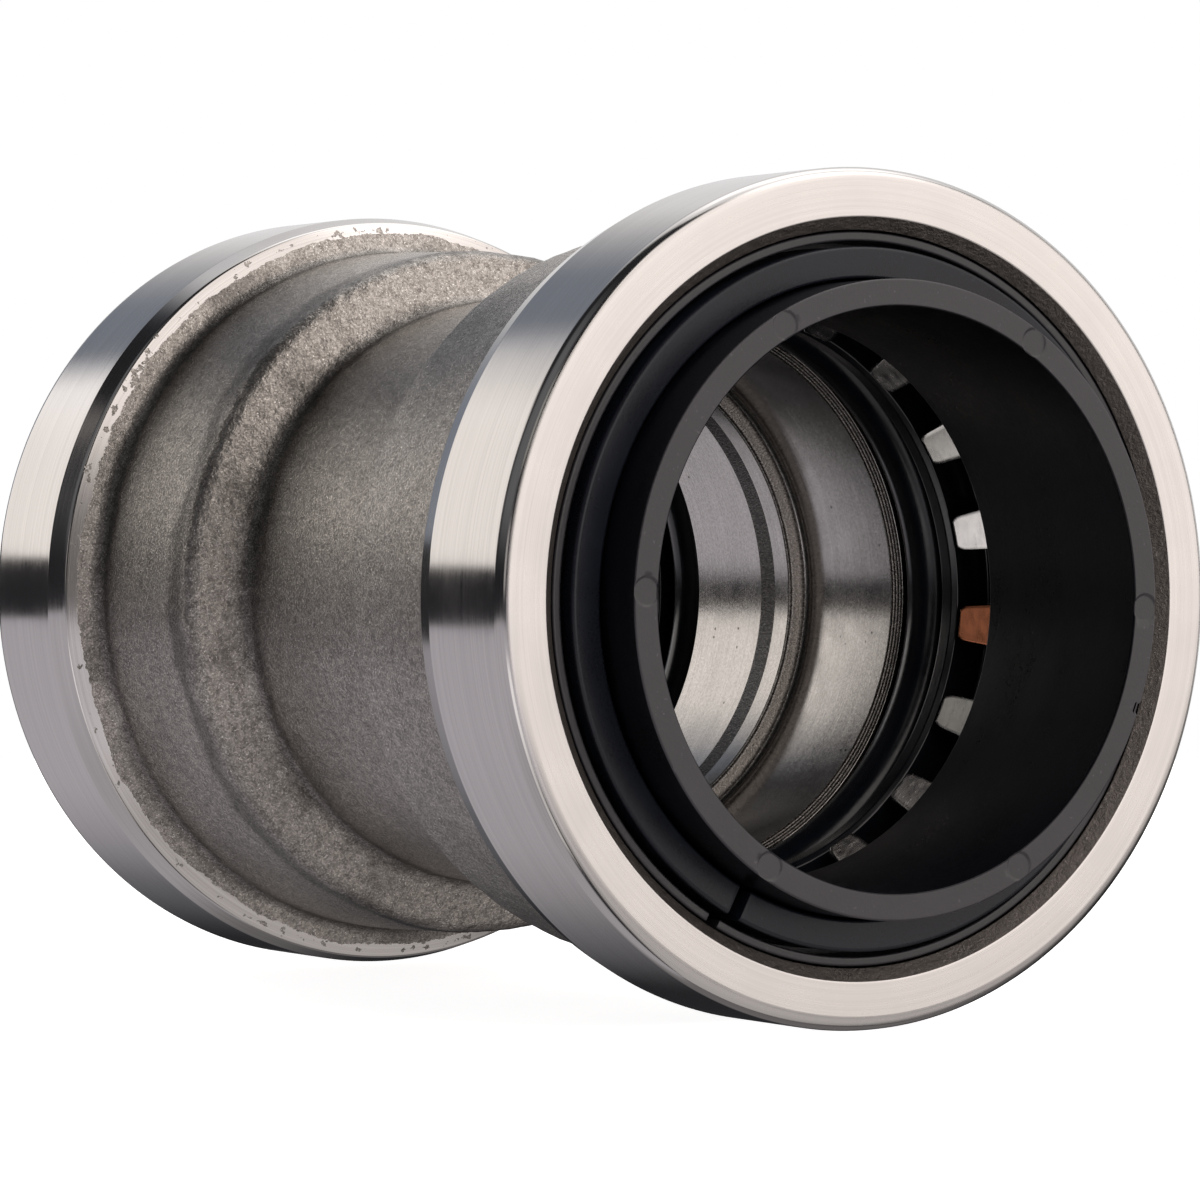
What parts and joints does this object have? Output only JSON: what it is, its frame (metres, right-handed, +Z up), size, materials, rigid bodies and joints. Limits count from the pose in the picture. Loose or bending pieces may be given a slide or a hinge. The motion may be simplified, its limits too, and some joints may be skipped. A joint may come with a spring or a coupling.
{
  "type": "push-to-connect pipe coupling",
  "caption": "Push-to-connect coupling for plain-end steel pipe: waisted cast body with machined end rims, internal grip and seal rings, and release sleeves that push in.",
  "frame": {"origin": "centre of the coupling on its pipe axis, midway between the two end faces", "axes": "+X along the pipe axis out of the right-hand end, +Z up; the splits of the collars and retaining rings are about 120 degrees below +Y, seen along the axis"},
  "size_m": [0.1288, 0.091, 0.091],
  "materials": {
    "stainless_body": "bead-blasted casting with machined rims and bores",
    "seal_rubber": "smooth moulded rubber, lubricated",
    "inner_plastic": "moulded",
    "spring_steel": "rolled spring-steel sheet",
    "collar_plastic": "moulded, fine satin",
    "retaining_plastic": "moulded, fine satin",
    "sleeve_plastic": "moulded, fine satin, with ejector marks"
  },
  "bodies": {
    "coupling": {"body": "stainless_body", "right_o_ring": "seal_rubber", "right_spacer_ring": "inner_plastic", "right_grip_ring": "spring_steel", "right_support_ring": "inner_plastic", "right_guide_collar": "collar_plastic", "right_retaining_ring": "retaining_plastic", "left_o_ring": "seal_rubber", "left_spacer_ring": "inner_plastic", "left_grip_ring": "spring_steel", "left_support_ring": "inner_plastic", "left_guide_collar": "collar_plastic", "left_retaining_ring": "retaining_plastic"},
    "right_sleeve": {"right_release_sleeve": "sleeve_plastic"},
    "left_sleeve": {"left_release_sleeve": "sleeve_plastic"}
  },
  "joints": [
    {"name": "right_sleeve_push", "type": "slide", "parent": "coupling", "child": "right_sleeve", "axis": [-1, 0, 0], "range_m": [0, 0.003], "stiffness_N_per_m": 3000, "springref_m": -0.0005},
    {"name": "left_sleeve_push", "type": "slide", "parent": "coupling", "child": "left_sleeve", "axis": [1, 0, 0], "range_m": [0, 0.003], "stiffness_N_per_m": 3000, "springref_m": -0.0005}
  ]
}
